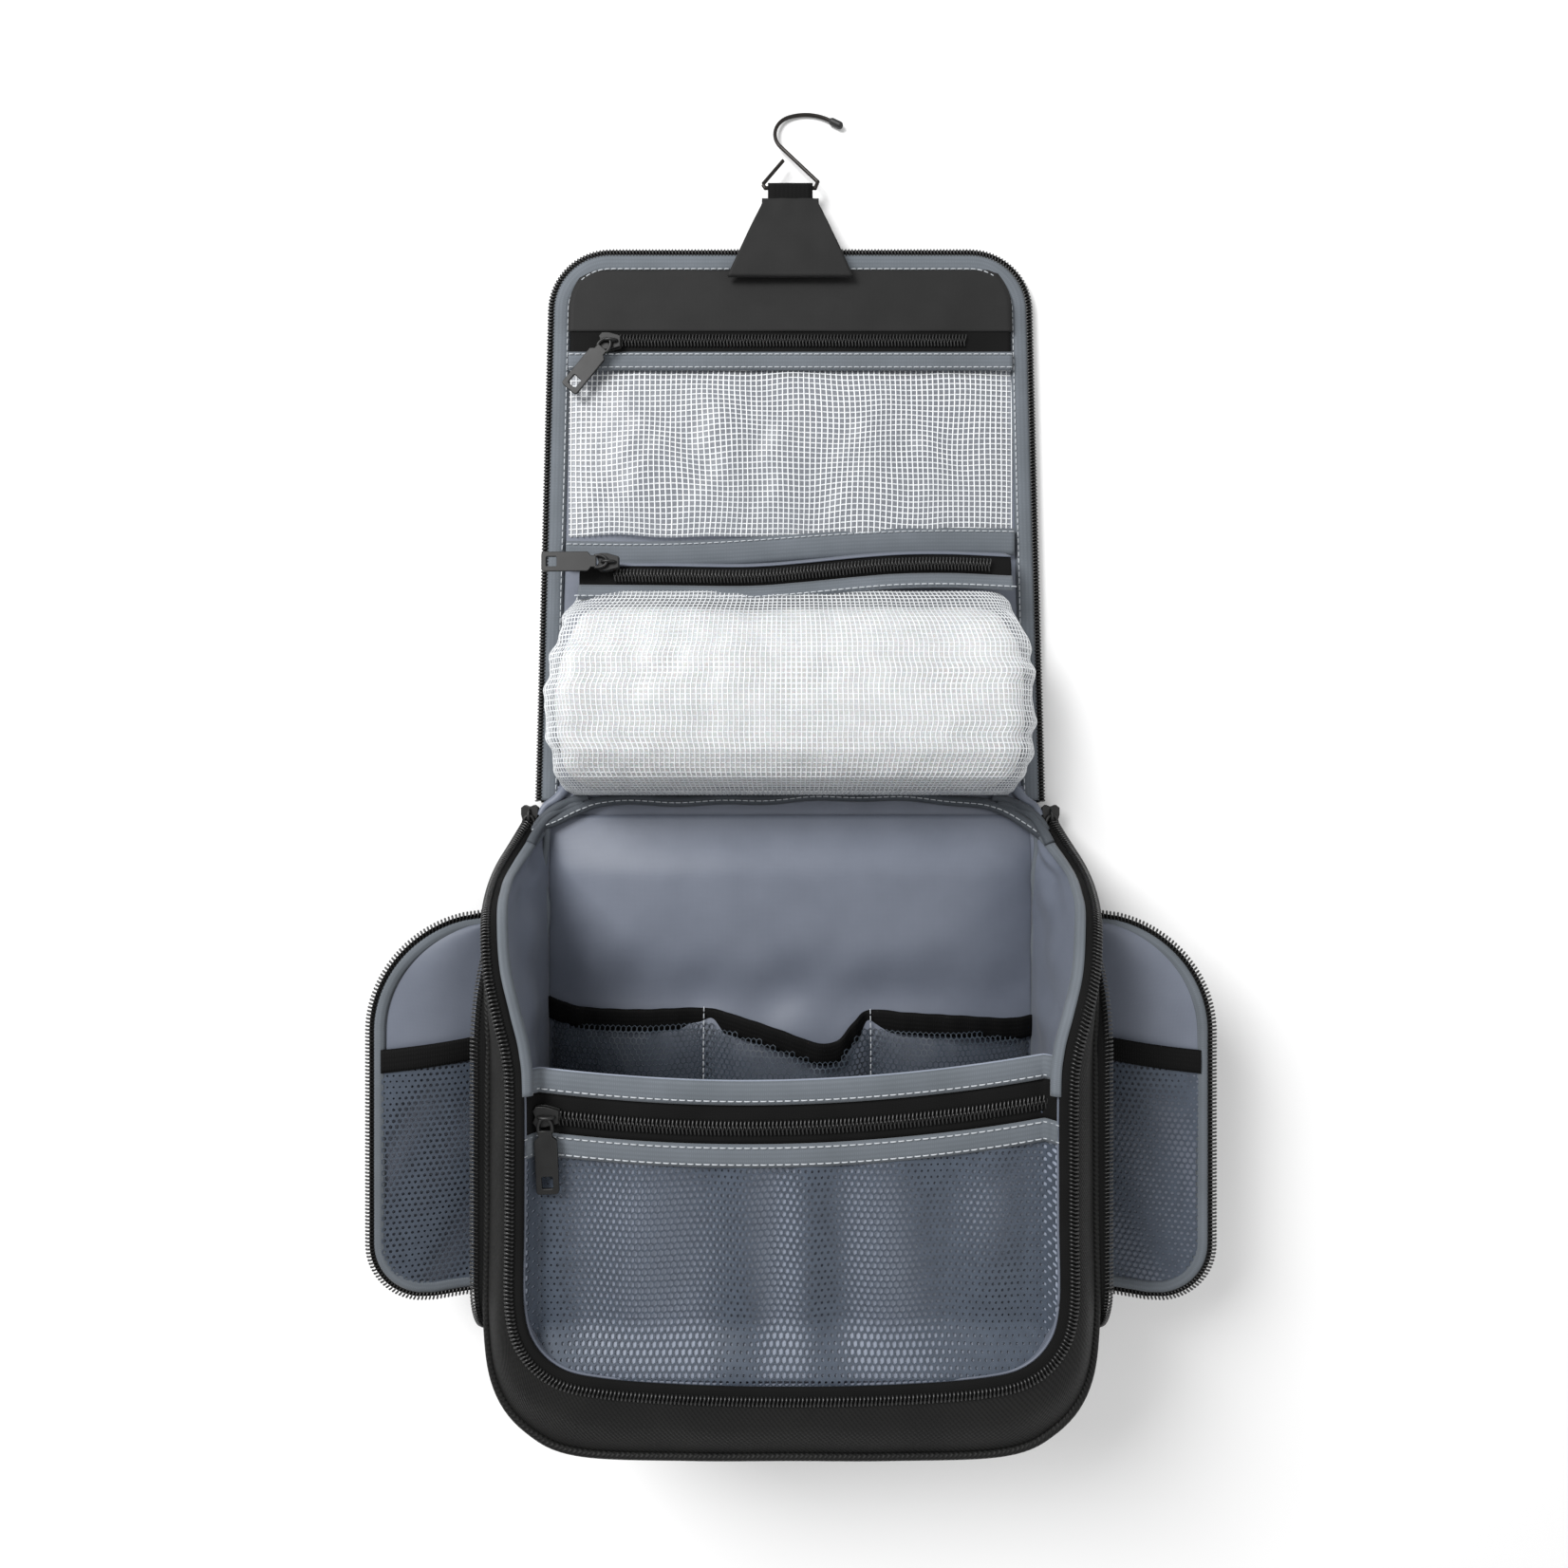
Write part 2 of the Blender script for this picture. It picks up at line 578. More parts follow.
# matched points down one side of the compartment: zip line, seam below it, foot on the floor
zipNodes = [(-124, 124, 7), (-128.5, 112, 22), (-130, 101, 45), (-127.5, 91, 70), (-123.5, 80, 90),
            (-119.5, 64, 101), (-114.5, 48, 106), (-110.5, 34, 107.5), (-109, 18, 107.5), (-109, -30, 107.5),
            (-109, -64, 107.5), (-104, -81, 107.3), (-92, -92, 107.2), (-74, -96.5, 107.2),
            (-40, -99, 107.2), (0, -99.8, 107.2)]
seamNodes = [(-122, 122, 4), (-124.5, 112, 13), (-126, 101, 34), (-125, 90, 58), (-123.5, 79, 77),
             (-122.5, 64, 88), (-121.5, 48, 92), (-121, 34, 93), (-121, 18, 93.5), (-121, -30, 94),
             (-121, -76, 95), (-116.5, -101, 96), (-104, -116.5, 97), (-84, -125, 97.5),
             (-40, -126.5, 98), (0, -126.5, 98)]
footNodes = [(-118, 121, 1), (-119, 112, 1), (-120, 101, 1), (-120.3, 90, 1), (-120.5, 79, 1),
             (-120.5, 64, 1), (-120.5, 48, 1), (-120.5, 34, 1), (-120.5, 18, 1), (-120.5, -30, 1),
             (-120.5, -82, 1), (-115.5, -103, 1), (-104, -116, 1), (-84, -124, 1),
             (-40, -125, 1), (0, -125, 1)]
innerNodes = [(-115, 119, 7), (-116, 110, 7), (-116.5, 99, 7), (-116.5, 90, 7), (-116.5, 79, 7),
              (-116.5, 64, 7), (-116.5, 48, 7), (-116.5, 34, 7), (-116.5, 18, 7), (-116.5, -30, 7),
              (-116.5, -76, 7), (-112, -98, 7), (-100, -113, 7), (-82, -120, 7), (-40, -121, 7), (0, -121, 7)]


def bothSides(nodes):
    half = np.array(nodes, float)
    return np.vstack([half, half[::-1][1:] * np.array([-1, 1, 1])])


fine = 481
zipLine = curveThrough(bothSides(zipNodes), fine)
seamLine = curveThrough(bothSides(seamNodes), fine)
footLine = curveThrough(bothSides(footNodes), fine)
innerLine = curveThrough(bothSides(innerNodes), fine)
sideShare = 10 / 30  # where along these lines the side walls meet the bottom wall
inPlane = unit(np.stack([-tangents(zipLine)[:, 1], tangents(zipLine)[:, 0], 0 * zipLine[:, 0]], axis=1))
downWall = unit(innerLine - zipLine)
onFront = 1 - ease(zipLine[:, 1], 15, 60)[:, None]
zipInward = unit(inPlane + 0.45 * downWall * (1 - onFront))
zipUp = unit(np.cross(zipInward, tangents(zipLine)))
zipUp *= np.sign((zipUp * (zipLine - np.array([0, 30, 20]))).sum(1))[:, None]


def lineAt(line, t):
    return np.stack([np.interp(t, np.linspace(0, 1, len(line)), line[:, k]) for k in range(3)], axis=-1)


# ---- compartment ----

backLiningSpec = {"swell": 9, "low": 5.4, "top": 124, "half": 117, "corner": 30, "bottom": -121}
backPanelSpec = {"half": 120, "corner": 35, "bottom": -124.5, "top": 124}


def backHalf(y, half, corner, bottom):
    over = np.clip(bottom + corner - y, 0, corner)
    return half - corner + np.sqrt(np.maximum(corner ** 2 - over ** 2, 0))


def backSurface(u, y):
    spec = backLiningSpec
    x = u * backHalf(y, spec["half"], spec["corner"], spec["bottom"])
    pillow = (1 - u ** 6) * ease(y, spec["bottom"], -100) * ease(spec["top"] - y, -2, 30)
    puckers = (1.3 * ripple(x * 0.8 - y * 0.5, y + x * 0.25, 34, 3) * ease(48 - np.abs(y - 40), 0, 40)
               * (1 - u ** 8))
    puckers = puckers + 1.2 * ripple(x, y, 16, 6) * np.clip(u ** 12, 0, 1) * pillow
    z = spec["low"] + spec["swell"] * pillow + 1.1 * ripple(x, y, 70, 1) * pillow + puckers
    z = z - 4.5 * pillow * np.exp(-((y - 38) / 16) ** 2) - 3 * pillow * ease(30 - y, 0, 60)
    return x, y, z


backLining = sheetPiece("BackLining", backSurface, np.linspace(-1, 1, 97),
                        np.linspace(backLiningSpec["bottom"], backLiningSpec["top"], 101), liningCloth, 1.2)
finishPiece(backLining, "compartment", "lining", "back_lining")



def panelSurface(u, y):
    spec = backPanelSpec
    x = u * backHalf(y, spec["half"], spec["corner"], spec["bottom"])
    return x, y, 1.5 + 0.35 * ripple(u * spec["half"], y, 60, 5)


backPanel = sheetPiece("BackPanel", panelSurface, np.linspace(-1, 1, 61),
                       np.linspace(backPanelSpec["bottom"], backPanelSpec["top"], 61), nylonCloth, 1.1)
finishPiece(backPanel, "compartment", "nylon", "back_panel")


def wallSurface(top, bottom, bulge, seed, wrinkle):
    # a wall between two matched lines, t along them and v down
    def surface(t, v):
        a, b = lineAt(top, t), lineAt(bottom, t)
        p = a * (1 - v[..., None]) + b * v[..., None]
        out = unit(np.stack([p[..., 0] * 1.0, (p[..., 1] - 10) * 0.9, 0 * p[..., 0]], axis=-1))
        side = np.abs(out[..., 0:1]) > np.abs(out[..., 1:2]) * 0.6
        away = np.where(side, np.stack([np.sign(p[..., 0]), 0 * v, 0 * v], axis=-1), out)
        amount = (bulge * np.sin(math.pi * v)
                  + wrinkle * ripple(t * 900, v * 90, 45, seed) * np.sin(math.pi * v))
        p = p + away * amount[..., None]
        return p[..., 0], p[..., 1], p[..., 2]
    return surface


liningTop = zipLine + zipInward * 5.2 + downWall * 1.2
# name, the part of the line that it follows, node, and the lining's flat width and area in metres
for sideName, t0, t1, node, wide, area in (("Left", 0, sideShare, "side_lining_left", 0.205, 0.0165),
                                           ("Bottom", sideShare, 1 - sideShare, "bottom_lining", 0.3, 0.028),
                                           ("Right", 1 - sideShare, 1, "side_lining_right", 0.205, 0.0165)):
    wallLining = sheetPiece("WallLining" + sideName,
                            wallSurface(liningTop, innerLine, 0.6, 11 + len(sideName), 2.2),
                            np.linspace(t0, t1, 90), np.linspace(0, 1, 40), liningCloth, 0.8)
    finishPiece(wallLining, "compartment", "lining", node)

for sideName, t0, t1, node, wide, area in (("Left", 0, sideShare, "side_shell_left", 0.205, 0.016),
                                           ("Bottom", sideShare, 1 - sideShare, "bottom_shell", 0.31, 0.029),
                                           ("Right", 1 - sideShare, 1, "side_shell_right", 0.205, 0.016)):
    wall = sheetPiece("Wall" + sideName, wallSurface(seamLine, footLine, 2.4, 21, 0.5),
                      np.linspace(t0, t1, 90), np.linspace(0, 1, 30), twillCloth, 1.1)
    finishPiece(wall, "compartment", "twill", node)


def borderSurface(t, v):
    a, b = lineAt(zipLine - zipInward * 1.7 - zipUp * 0.6, t), lineAt(seamLine, t)
    p = a * (1 - v[..., None]) + b * v[..., None]
    p[..., 2] += 2.6 * np.sin(math.pi * v) + 0.5 * ripple(t * 700, v * 20, 30, 8) * np.sin(math.pi * v)
    return p[..., 0], p[..., 1], p[..., 2]


border = sheetPiece("FrontBorder", borderSurface, np.linspace(0.0, 1, 260), np.linspace(0, 1, 12),
                    twillCloth, 1.1)
finishPiece(border, "compartment", "twill", "front_border")

piping = tubePiece("BottomPiping", evenly(seamLine[60:-60] + np.array([0, 0, 0.4]), 3)[0], 1.75, twillCloth,
                   10)
finishPiece(piping, "compartment", "twill", "bottom_piping")
foot = tubePiece("BackSeam", evenly(footLine[4:-4] + np.array([0, 0, 1.0]), 3)[0], 1.6, twillCloth, 8)
finishPiece(foot, "compartment", "twill")

mainTape = ribbon("MainZipTape", zipLine - zipInward * 0.8, zipInward * 6.3, zipTape, 0.6, 0.4)
mainCoil = coilRow("MainZipCoil", zipLine - zipInward * 0.2 + zipUp * 0.5, zipUp, -zipInward)
finishPiece(mainTape, "compartment", "zip", "main_zip_body")
finishPiece(mainCoil, "compartment", "zip")
# the grey edge of the side linings, down to the front's corners
bound = int(np.argmax(zipLine[:, 1] < 16))
for part, sideName in ((slice(2, bound), "Left"), (slice(fine - bound, fine - 2), "Right")):
    edging = ribbon("MainBinding" + sideName, (zipLine + zipInward * 5.0 + zipUp * 0.3)[part],
                    zipInward[part] * 3.6 + downWall[part] * 1.6, bindingTape, 0.9, 0.7,
                    wave=lambda s: 0.25 * np.sin(s / 9.0))
    finishPiece(edging, "compartment", "grey_binding")

for side in (-1, 1):
    corner = curveThrough([(side * 116.5, 121, 11), (side * 117.5, 105, 10), (side * 117, 80, 9.5),
                           (side * 117, 40, 9), (side * 116.5, -40, 8), (side * 116, -88, 8)], 120)
    corner[:, 0] += 0.8 * np.sin(corner[:, 1] / 5.5) * ease(corner[:, 1], 30, 100)
    seam = tubePiece("CornerSeam" + ("Left" if side < 0 else "Right"), corner, 1.7, bindingTape, 8)
    finishPiece(seam, "compartment", "grey_binding")
print("compartment done")


# ---- front wall with its mesh pocket ----

front = {"half": 104.5, "level": 97.5}


def zipY(x):
    return 3.2 + 2.8 * (x / 104) + 8.3 * (x / 104) ** 2


def frontZ(x, y):
    # level at the zip, rising to the main zip's tape at both sides and the bottom
    rim = np.maximum(ease(np.abs(x), 99.5, 104.5), ease(-np.asarray(y, float), 72, 94))
    return front["level"] + 8.2 * rim + 0.5 * ripple(x, y, 55, 4) * (1 - rim)


def meshFolds(x, y):
    # soft vertical folds, strongest under the zip
    fade = ease(y, -96, -60) * (1 - (x / front["half"]) ** 6) * ease(zipY(x) - 6 - y, 0, 14)
    return (1.0 * np.sin(x / 5.2 + 1.3 * np.sin(x / 17)) + 0.8 * ripple(x, y * 0.25, 24, 9)) * fade


def frontBottom(x):
    # the opening's lower edge, inside the zip tape
    over = np.clip(np.abs(x) - 76, 0, 28.4)
    return -66 - np.sqrt(np.maximum(28.5 ** 2 - over ** 2, 0)) + 0.4


def backingSurface(x, v):
    top = zipY(x) + 18.5
    y = top + (frontBottom(x) + 0.6 - top) * v
    return x, y, frontZ(x, y) - 0.9 + 0.9 * meshFolds(x, y)


backing = sheetPiece("FrontWallLining", backingSurface, np.linspace(-103.6, 103.6, 160),
                     np.linspace(0, 1, 80),
                     backCloth, 0.8)
finishPiece(backing, "compartment", "lining", "front_wall")


def gathered(x, y):
    band = 0.5 + 0.5 * np.sin(x / 8.6 + 1.5 * np.sin(x / 23) + 0.012 * y)
    patch = 0.5 + 0.5 * ripple(x, y * 0.5, 42, 14)
    edge = np.maximum(ease(np.abs(x), 82, 104), 0.7 * ease(y, -28, 2))
    return np.clip(1.3 * band ** 2 * patch + edge * (0.4 + 0.6 * band), 0, 1)


frontMesh = netPiece("FrontMesh", lambda u, v: (u, v, frontZ(u, v) + 0.4 + meshFolds(u, v)),
                     -104, 104, -97, 10, meshYarn,
                     inside=lambda u, v: (abs(u) < 103.4
                                          and frontBottom(np.float64(u)) + 0.4 < v < zipY(u) - 5),
                     gather=gathered)
finishPiece(frontMesh, "compartment", "mesh", "front_mesh")


def frontStrip(name, low, high, lift, material, crown=0.3, half=None, thickness=0.7):
    # a strip across the front, from low to high above the zip's line
    x = np.linspace(-(half or front["half"]), half or front["half"], 121)
    path = np.stack([x, zipY(x) + low, frontZ(x, zipY(x) + low) + lift], axis=1)
    top = np.stack([x, zipY(x) + high, frontZ(x, zipY(x) + high) + lift], axis=1)
    return ribbon(name, path, top - path, material, thickness, crown, up=np.array([0, 0, 1.0]), cols=7)


def frontLine(offset, lift, half=100, count=160):
    x = np.linspace(-half, half, count)
    return np.stack([x, zipY(x) + offset, frontZ(x, zipY(x) + offset) + lift], axis=1)


up = np.array([0, 0, 1.0])
tape = frontStrip("FrontPocketTape", -7.5, 9.5, 0.1, zipTape, 0.0)
finishPiece(tape, "compartment", "zip", "front_pocket_zip")
frontChain = closedChain("FrontPocketCoil", frontLine(0, 0.5, 100), up, np.array([0, 1.0, 0]))
finishPiece(frontChain, "compartment", "zip")
topBand = frontStrip("FrontTopBand", 9.5, 18.6, 0.9, bindingTape, 0.8, half=103.4, thickness=1.4)
finishPiece(topBand, "compartment", "grey_binding", "front_bands")
lowBand = frontStrip("FrontLowBand", -15.4, -6.3, 1.0, bindingTape, 0.5, half=103.4, thickness=0.9)
finishPiece(lowBand, "compartment", "grey_binding")
for count, (offset, lift) in enumerate(((11.0, 2.2), (-7.6, 1.85), (-14.2, 1.85))):
    finishPiece(stitches("FrontStitch%d" % count, frontLine(offset, lift, 103), up), "compartment",
                "grey_binding")
print("front wall done")


# ---- three mesh pockets on the back wall ----

pocket = {"seams": (-41, 38), "tall": 10.4, "bottom": -119}
elasticNodes = [(-115, 38, 11), (-106, 35.5, 15), (-95, 33.5, 16), (-70, 33, 18), (-41, 32.5, 12),
                (-25, 30, 18), (-5, 24.5, 23), (12, 19, 25), (22, 19.5, 23), (30, 27, 18), (38, 31.5, 12),
                (55, 31.5, 18), (80, 30.5, 20), (103, 28.5, 16), (115, 29, 11)]
elasticLine = curveThrough(elasticNodes, 200)


def pocketSurface(x, v):
    # v from 0 at the elastic to 1 at the bottom
    top = np.stack([np.interp(x, elasticLine[:, 0], elasticLine[:, k]) for k in range(3)], axis=-1)
    y = top[..., 1] - 9 + (pocket["bottom"] - top[..., 1] + 9) * v
    edges = [-115, *pocket["seams"], 115]
    swell = np.zeros(np.shape(x))
    for a, b in zip(edges[:-1], edges[1:]):
        inside = (x >= a) & (x <= b)
        swell = np.where(inside, np.sin(math.pi * np.clip((x - a) / (b - a), 0, 1)) ** 0.6, swell)
    floorZ = backSurface(x / backLiningSpec["half"], y)[2] + 1.2
    rise = (top[..., 2] - 11) * (1 - v) + 7 * swell * np.sin(math.pi * np.clip(v, 0, 1) ** 0.6)
    return x, y, floorZ + np.maximum(rise, 0) + 0.8 * ripple(x * 1.5, y, 16, 13) * swell


backNet = netPiece("BackMeshPockets", lambda u, v: pocketSurface(u, np.clip(
    (np.interp(u, elasticLine[:, 0], elasticLine[:, 1]) - 9 - v)
    / (np.interp(u, elasticLine[:, 0], elasticLine[:, 1]) - 9 - pocket["bottom"]), -0.05, 1)),
                   -114, 114, -118, 32, darkMeshYarn,
                   inside=lambda u, v: v < np.interp(u, elasticLine[:, 0], elasticLine[:, 1]) - 8)
finishPiece(backNet, "compartment", "mesh", "back_mesh_pocket")
down = unit(np.stack([0 * elasticLine[:, 0], -1 + 0 * elasticLine[:, 0], -0.15 + 0 * elasticLine[:, 0]],
                     axis=1))
backElastic = ribbon("BackElastic", elasticLine, down * pocket["tall"], elasticKnit, 1.1, 0.6,
                     up=np.array([0, -0.15, 1.0]), cols=6, wave=lambda s: 0.25 * np.sin(s / 1.9))
finishPiece(backElastic, "compartment", "elastic", "back_pocket_elastic")
for seamX in pocket["seams"]:
    line = np.stack(pocketSurface(np.full(60, seamX + 0.0), np.linspace(-0.06, 1, 60)), axis=1)
    finishPiece(stitches("PocketSeam%d" % seamX, line + up * 0.9, up), "compartment", "mesh")
print("back pockets done")


# ---- lid ----

def lidSheet(name, inset, z, material, seed, thickness, wrinkle=0.35):
    return sheetPiece(name, lambda u, y: (u * (lidHalf(y) - inset), y,
                                          z + wrinkle * ripple(u * 110, y, 55, seed) * (1 - u ** 8)),
                      np.linspace(-1, 1, 81), np.linspace(bag["foldY"] + 3, bag["lidEndY"] - inset, 120),
                      material, thickness)


lidShell = lidSheet("LidShell", 2.2, 1.6, nylonCloth, 31, 1.1)
foldPiece(lidShell, *lidFold, "nylon", "lid_lower_shell", "lid_upper_shell")
lidLining = lidSheet("LidLining", 4, 3.6, liningCloth, 32, 0.9)
foldPiece(lidLining, *lidFold, "lining", "lid_lower_lining", "lid_upper_lining")

edge = evenly(lidEdge(0), 1.2)[0] + up * 4.2
edgeOut = outward(edge)
lidTape = ribbon("LidZipTape", edge - edgeOut * 5.5, edgeOut * 5.2, zipTape, 0.6, 0.0, up=up)
foldPiece(lidTape, *lidFold, "zip", "lid_lower_zip", "lid_upper_zip")
lidCoil = coilRow("LidZipCoil", edge - edgeOut * 1.4 + up * 0.1, up, edgeOut)
foldPiece(lidCoil, *lidFold, "zip")
bindPath = evenly(lidEdge(10.9), 1.5)[0] + up * 4.4
lidBinding = ribbon("LidBinding", bindPath, outward(bindPath) * 8.0, bindingTape, 1.2, 1.2, up=up, cols=7)
foldPiece(lidBinding, *lidFold, "grey_binding", "lid_binding")
bindStitch = stitches("LidBindingStitch", evenly(lidEdge(9.9), 1.5)[0] + up * 5.75, up)
foldPiece(bindStitch, *lidFold, "grey_binding")

shellBridge = sheetPiece("FoldShell", lambda x, y: (x, y, 1.7 + 0 * x), np.linspace(-118, 118, 60),
                         np.linspace(119, 134, 16), nylonCloth, 1.0)
foldPiece(shellBridge, *rootFold, "nylon")
liningBridge = sheetPiece("FoldLining", lambda x, y: (x, y, 4.6 + 0.3 * ripple(x, y, 14, 41)),
                          np.linspace(-117, 117, 90), np.linspace(118, 138, 20), liningCloth, 0.8)
foldPiece(liningBridge, *rootFold, "lining")
foldNodes = [(-121, 117, 13), (-112, 120.5, 11), (-100, 127, 9), (-86, 130.5, 8), (-40, 132, 7.5),
             (0, 132.5, 7.5),
             (40, 132.5, 7.5), (80, 131.5, 8), (98, 128.5, 9), (111, 122, 11), (121, 115, 13)]
foldLine = curveThrough(foldNodes, 200)
foldLine[:, 2] += 0.7 * np.sin(foldLine[:, 0] / 4.2) * ease(np.abs(foldLine[:, 0]), 70, 110)
foldLine[:, 1] += 0.9 * np.sin(foldLine[:, 0] / 23) + 0.5 * np.sin(foldLine[:, 0] / 7)
foldBinding = tubePiece("FoldBinding", foldLine, 2.6, foldTape, 10, flat=0.75)
foldPiece(foldBinding, *rootFold, "grey_binding", "hinge_binding")
for side, sideName in ((-1, "Left"), (1, "Right")):
    for count, nodes in enumerate((
            [(121.5, 111, 20), (119, 117.5, 15), (115, 123.5, 11), (107, 127.5, 9.5), (99, 130, 8.5)],
            [(122, 117, 13), (118.5, 122.5, 11.5), (112, 127.5, 10), (104, 131, 8), (97, 133, 7)],
            [(120, 124, 9), (117, 128.5, 9), (112, 132, 7.5), (108, 137, 6)])):
        bunch = curveThrough(nodes, 40) * np.array([side, 1, 1])
        bunch[:, 2] += 0.5 * np.sin(lengths(bunch) / 2.3 + count)
        roll = tubePiece("Bunch%s%d" % (sideName, count), bunch,
                         np.linspace(2.6, 1.5, 40)[::-1 if count else 1],
                         foldTape if count < 2 else liningCloth, 10)
        foldPiece(roll, *rootFold, "lining")
foldStitch = stitches("FoldStitch", foldLine + up * 2.1 + np.array([0, -0.5, 0]), up)
foldPiece(foldStitch, *rootFold, "grey_binding")
print("lid shell done")


# ---- clear pocket on the lid's upper part ----

pane = {"half": 107, "low": 250, "high": 340, "lift": 4.6, "swell": 4.2}


def paneSurface(x, y):
    u = x / pane["half"]
    v = (y - pane["low"]) / (pane["high"] - pane["low"])
    dome = (1 - u ** 6) * np.clip(4 * v * (1 - v), 0, 1) ** 0.5
    drift = 2.6 * np.clip(dome, 0, 1)
    return (x + drift * ripple(x, y, 55, 53), y + drift * ripple(x, y, 48, 54),
            pane["lift"] + pane["swell"] * dome
            + 2.2 * dome * ripple(x, y * 0.35, 38, 51) + 1.0 * dome * ripple(x, y, 20, 52))


paneSheet = sheetPiece("ClearPane", paneSurface, np.linspace(-pane["half"], pane["half"], 121),
                       np.linspace(pane["low"] + 8, pane["high"], 60), pvc, 0.3)
finishPiece(paneSheet, "lid_upper", "clear", "clear_pane")
paneScrim = scrimPiece("ClearPaneScrim", lambda u, v: (paneSurface(u, v)[0], paneSurface(u, v)[1],
                                                       paneSurface(u, v)[2] + scrim["rise"]),
                       -pane["half"], pane["half"], pane["low"] + 8, pane["high"], gridThread)
finishPiece(paneScrim, "lid_upper", "clear")


def flatStrip(name, yLow, yHigh, z, half, material, thickness=0.8, crown=0.4, rise=None):
    x = np.linspace(-half, half, 121)
    bend = 0 * x if rise is None else rise(x)
    path = np.stack([x, yLow + bend, z + 0 * x], axis=1)
    top = np.stack([x, yHigh + bend, z + 0 * x], axis=1)
    return ribbon(name, path, top - path, material, thickness, crown, up=up, cols=7)


clearZip = {"y": 351.5, "z": 8.2}
topPanel = sheetPiece("TopPanel", lambda u, y: (u * (lidHalf(y) - 10.5), y,
                                                5.0 + 2.6 * ease(388 - y, 0, 24)
                                                + 0.4 * ripple(u * 100, y, 40, 61)),
                      np.linspace(-1, 1, 81), np.linspace(356, 386.5, 30), nylonCloth, 0.9)
finishPiece(topPanel, "lid_upper", "nylon", "top_panel")
clearTape = flatStrip("ClearZipTape", 344, 358.5, clearZip["z"] - 0.6, 105.5, zipTape, 0.7, 0.0)
finishPiece(clearTape, "lid_upper", "zip", "clear_pocket_zip")
x = np.linspace(-84, 83, 120)
clearLine = np.stack([x, clearZip["y"] + 0 * x, clearZip["z"] - 0.2 + 0 * x], axis=1)
finishPiece(closedChain("ClearZipCoil", clearLine, up, np.array([0, 1.0, 0])), "lid_upper", "zip")
clearBand = flatStrip("ClearTopBand", 337.5, 346.2, 7.6, 106.5, bindingTape, 0.9, 0.5)
finishPiece(clearBand, "lid_upper", "grey_binding", "clear_pocket_bands")
for count, y in enumerate((338.8, 345.0)):
    x = np.linspace(-105, 105, 120)
    line = np.stack([x, y + 0 * x, 8.45 + 0 * x], axis=1)
    finishPiece(stitches("ClearStitch%d" % count, line, up), "lid_upper", "grey_binding")
lowRise = lambda x: 3.0 * (x / 107) + 1.5 * np.sin(x / 34)
hem = flatStrip("ClearHem", 246, 258.5, 7.4, 107.5, bindingTape, 0.9, 1.0, rise=lowRise)
foldPiece(hem, *lidFold, "grey_binding")
x = np.linspace(-106, 106, 120)
hemStitch = stitches("HemStitch", np.stack([x, 257 + lowRise(x), 8.45 + 0 * x], axis=1), up)
foldPiece(hemStitch, *lidFold, "grey_binding")
print("clear pocket done")


# ---- box pouch on the lid's lower part ----

pouch = {"low": 132, "high": 228, "lift": 4.2}
profileY = [134, 134, 136, 142, 153, 175, 200, 215, 222, 228]
profileZ = [5, 18, 33, 45, 51.5, 53.5, 50, 41, 33, 27.5]
halfY = [134, 145, 165, 190, 210, 228]
halfX = [104, 110, 112.5, 112, 108, 101]


def pouchSurface(a, v):
    # a from -1 to 1 over the pouch from side seam to side seam, v from 0 at the fold to 1 at the zip
    s = lengths(np.stack([profileY, profileZ, np.zeros(10)], axis=1))
    at = v * s[-1]
    y, top = np.interp(at, s, profileY), np.interp(at, s, profileZ)
    half = np.interp(y, halfY, halfX) + 2.2 * ripple(y, 0 * y, 13, 71) * np.sign(a)
    b = np.abs(a)
    flatShare = 0.72
    turn = np.clip((b - flatShare) / (1 - flatShare), 0, 1) * math.pi / 2
    x = np.sign(a) * np.where(b < flatShare, b / flatShare * (half - 17), half - 17 + 17 * np.sin(turn))
    z = pouch["lift"] + (top - pouch["lift"]) * np.where(b < flatShare, 1, np.cos(turn) ** 0.55)
    front = np.clip(1 - b ** 5, 0, 1) * ease(v, 0, 0.2)
    z = z + front * (1.3 * ripple(x, y * 0.7, 46, 72) + 0.7 * ripple(x, y, 18, 73))
    crease = ease(b, 0.6, 0.85) * (1 - ease(b, 0.97, 1.0))
    z = z + crease * 1.4 * ripple(x * 0.6, y * 1.7, 15, 74)
    x = x + crease * 1.2 * np.sign(a) * ripple(z, y * 1.4, 13, 75)
    return x, y, z


pouchSheet = sheetPiece("PouchCover", pouchSurface, np.linspace(-1, 1, 181), np.linspace(0, 1, 110), pvc, 0.3)
finishPiece(pouchSheet, "lid_lower", "clear", "pouch_cover")


def pouchGrid(u, v):
    # the scrim's flat coordinates, in mm, on the pouch
    x, y, z = pouchSurface(np.clip(u / 148, -1, 1), np.clip(v / 148, 0, 1))
    return x, y, z + scrim["rise"]


pouchScrim = scrimPiece("PouchScrim", pouchGrid, -147, 147, 0, 148, gridThread)
finishPiece(pouchScrim, "lid_lower", "clear")

fillSpec = {"voxel": 6, "pressure": 4, "cap": 9}


